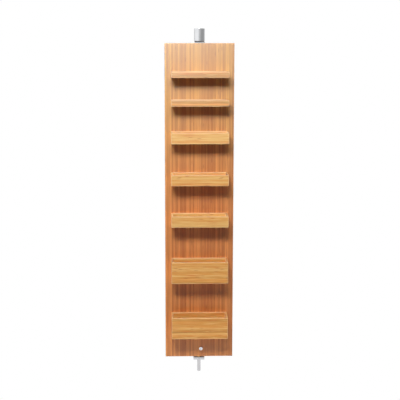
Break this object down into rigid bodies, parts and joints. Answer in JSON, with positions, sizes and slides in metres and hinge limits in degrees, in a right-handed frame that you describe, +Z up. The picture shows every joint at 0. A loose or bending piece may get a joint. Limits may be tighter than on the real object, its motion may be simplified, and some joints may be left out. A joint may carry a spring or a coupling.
{
  "type": "swivelling wall caddy",
  "caption": "Tall bamboo board with open storage trays on one face and a mirror on the other, turning on a vertical axis between two metal wall brackets.",
  "frame": {"origin": "middle of the lower wall plate's four screw holes, on the face that lies against the wall", "axes": "+X to the right seen from the room, +Y into the wall, +Z up; at rest the trays face the room, along -Y"},
  "size_m": [0.35, 0.3261, 1.7793],
  "materials": {
    "board_bamboo": "oiled caramel bamboo, narrow upright staves",
    "tray_bamboo": "oiled light bamboo, strips along the tray, small nodes",
    "beech": "plain turned dowel",
    "chrome": "polished chrome",
    "bracket_steel": "satin steel",
    "spindle_steel": "ground and polished steel",
    "screw_steel": "bright zinc",
    "brass": "turned brass",
    "dark_nylon": "dark grey nylon",
    "foam_tape": "white foam tape",
    "mirror": "silvered glass with a bevelled edge"
  },
  "bodies": {
    "wall_brackets": {"lower_bracket": "bracket_steel", "lower_spindle": "spindle_steel", "spindle_grub_screw": "screw_steel", "thrust_washer": "dark_nylon", "upper_bracket": "bracket_steel", "upper_barrel": "chrome", "barrel_cap": "chrome", "barrel_bush": "dark_nylon"},
    "swivel_board": {"backboard": "board_bamboo", "tray_7_front": "tray_bamboo", "tray_7_back": "tray_bamboo", "tray_7_left_end": "tray_bamboo", "tray_7_right_end": "tray_bamboo", "tray_7_floor": "tray_bamboo", "tray_6_front": "tray_bamboo", "tray_6_back": "tray_bamboo", "tray_6_left_end": "tray_bamboo", "tray_6_right_end": "tray_bamboo", "tray_6_floor": "tray_bamboo", "tray_5_front": "tray_bamboo", "tray_5_back": "tray_bamboo", "tray_5_left_end": "tray_bamboo", "tray_5_right_end": "tray_bamboo", "tray_5_floor": "tray_bamboo", "tray_4_front": "tray_bamboo", "tray_4_back": "tray_bamboo", "tray_4_left_end": "tray_bamboo", "tray_4_right_end": "tray_bamboo", "tray_4_floor": "tray_bamboo", "tray_3_front": "tray_bamboo", "tray_3_back": "tray_bamboo", "tray_3_left_end": "tray_bamboo", "tray_3_right_end": "tray_bamboo", "tray_3_floor": "tray_bamboo", "tray_2_front": "tray_bamboo", "tray_2_back": "tray_bamboo", "tray_2_left_end": "tray_bamboo", "tray_2_right_end": "tray_bamboo", "tray_2_floor": "tray_bamboo", "tray_1_front": "tray_bamboo", "tray_1_back": "tray_bamboo", "tray_1_left_end": "tray_bamboo", "tray_1_right_end": "tray_bamboo", "tray_1_floor": "tray_bamboo", "tray_dowels": "beech", "tray_screws": "screw_steel", "mirror_glass": "mirror", "mirror_tape": "foam_tape", "mirror_clips": "chrome", "mirror_clip_screws": "screw_steel", "upper_pivot_plate": "chrome", "upper_pivot_pin": "spindle_steel", "pivot_plate_screws": "screw_steel", "lower_bush": "brass", "keeper_insert": "brass", "keeper_screw": "chrome"}
  },
  "joints": [
    {"name": "board_swivel", "type": "hinge", "parent": "wall_brackets", "child": "swivel_board", "pos_m": [0, -0.2016, -0.0422], "axis": [0, 0, 1], "continuous": true}
  ]
}
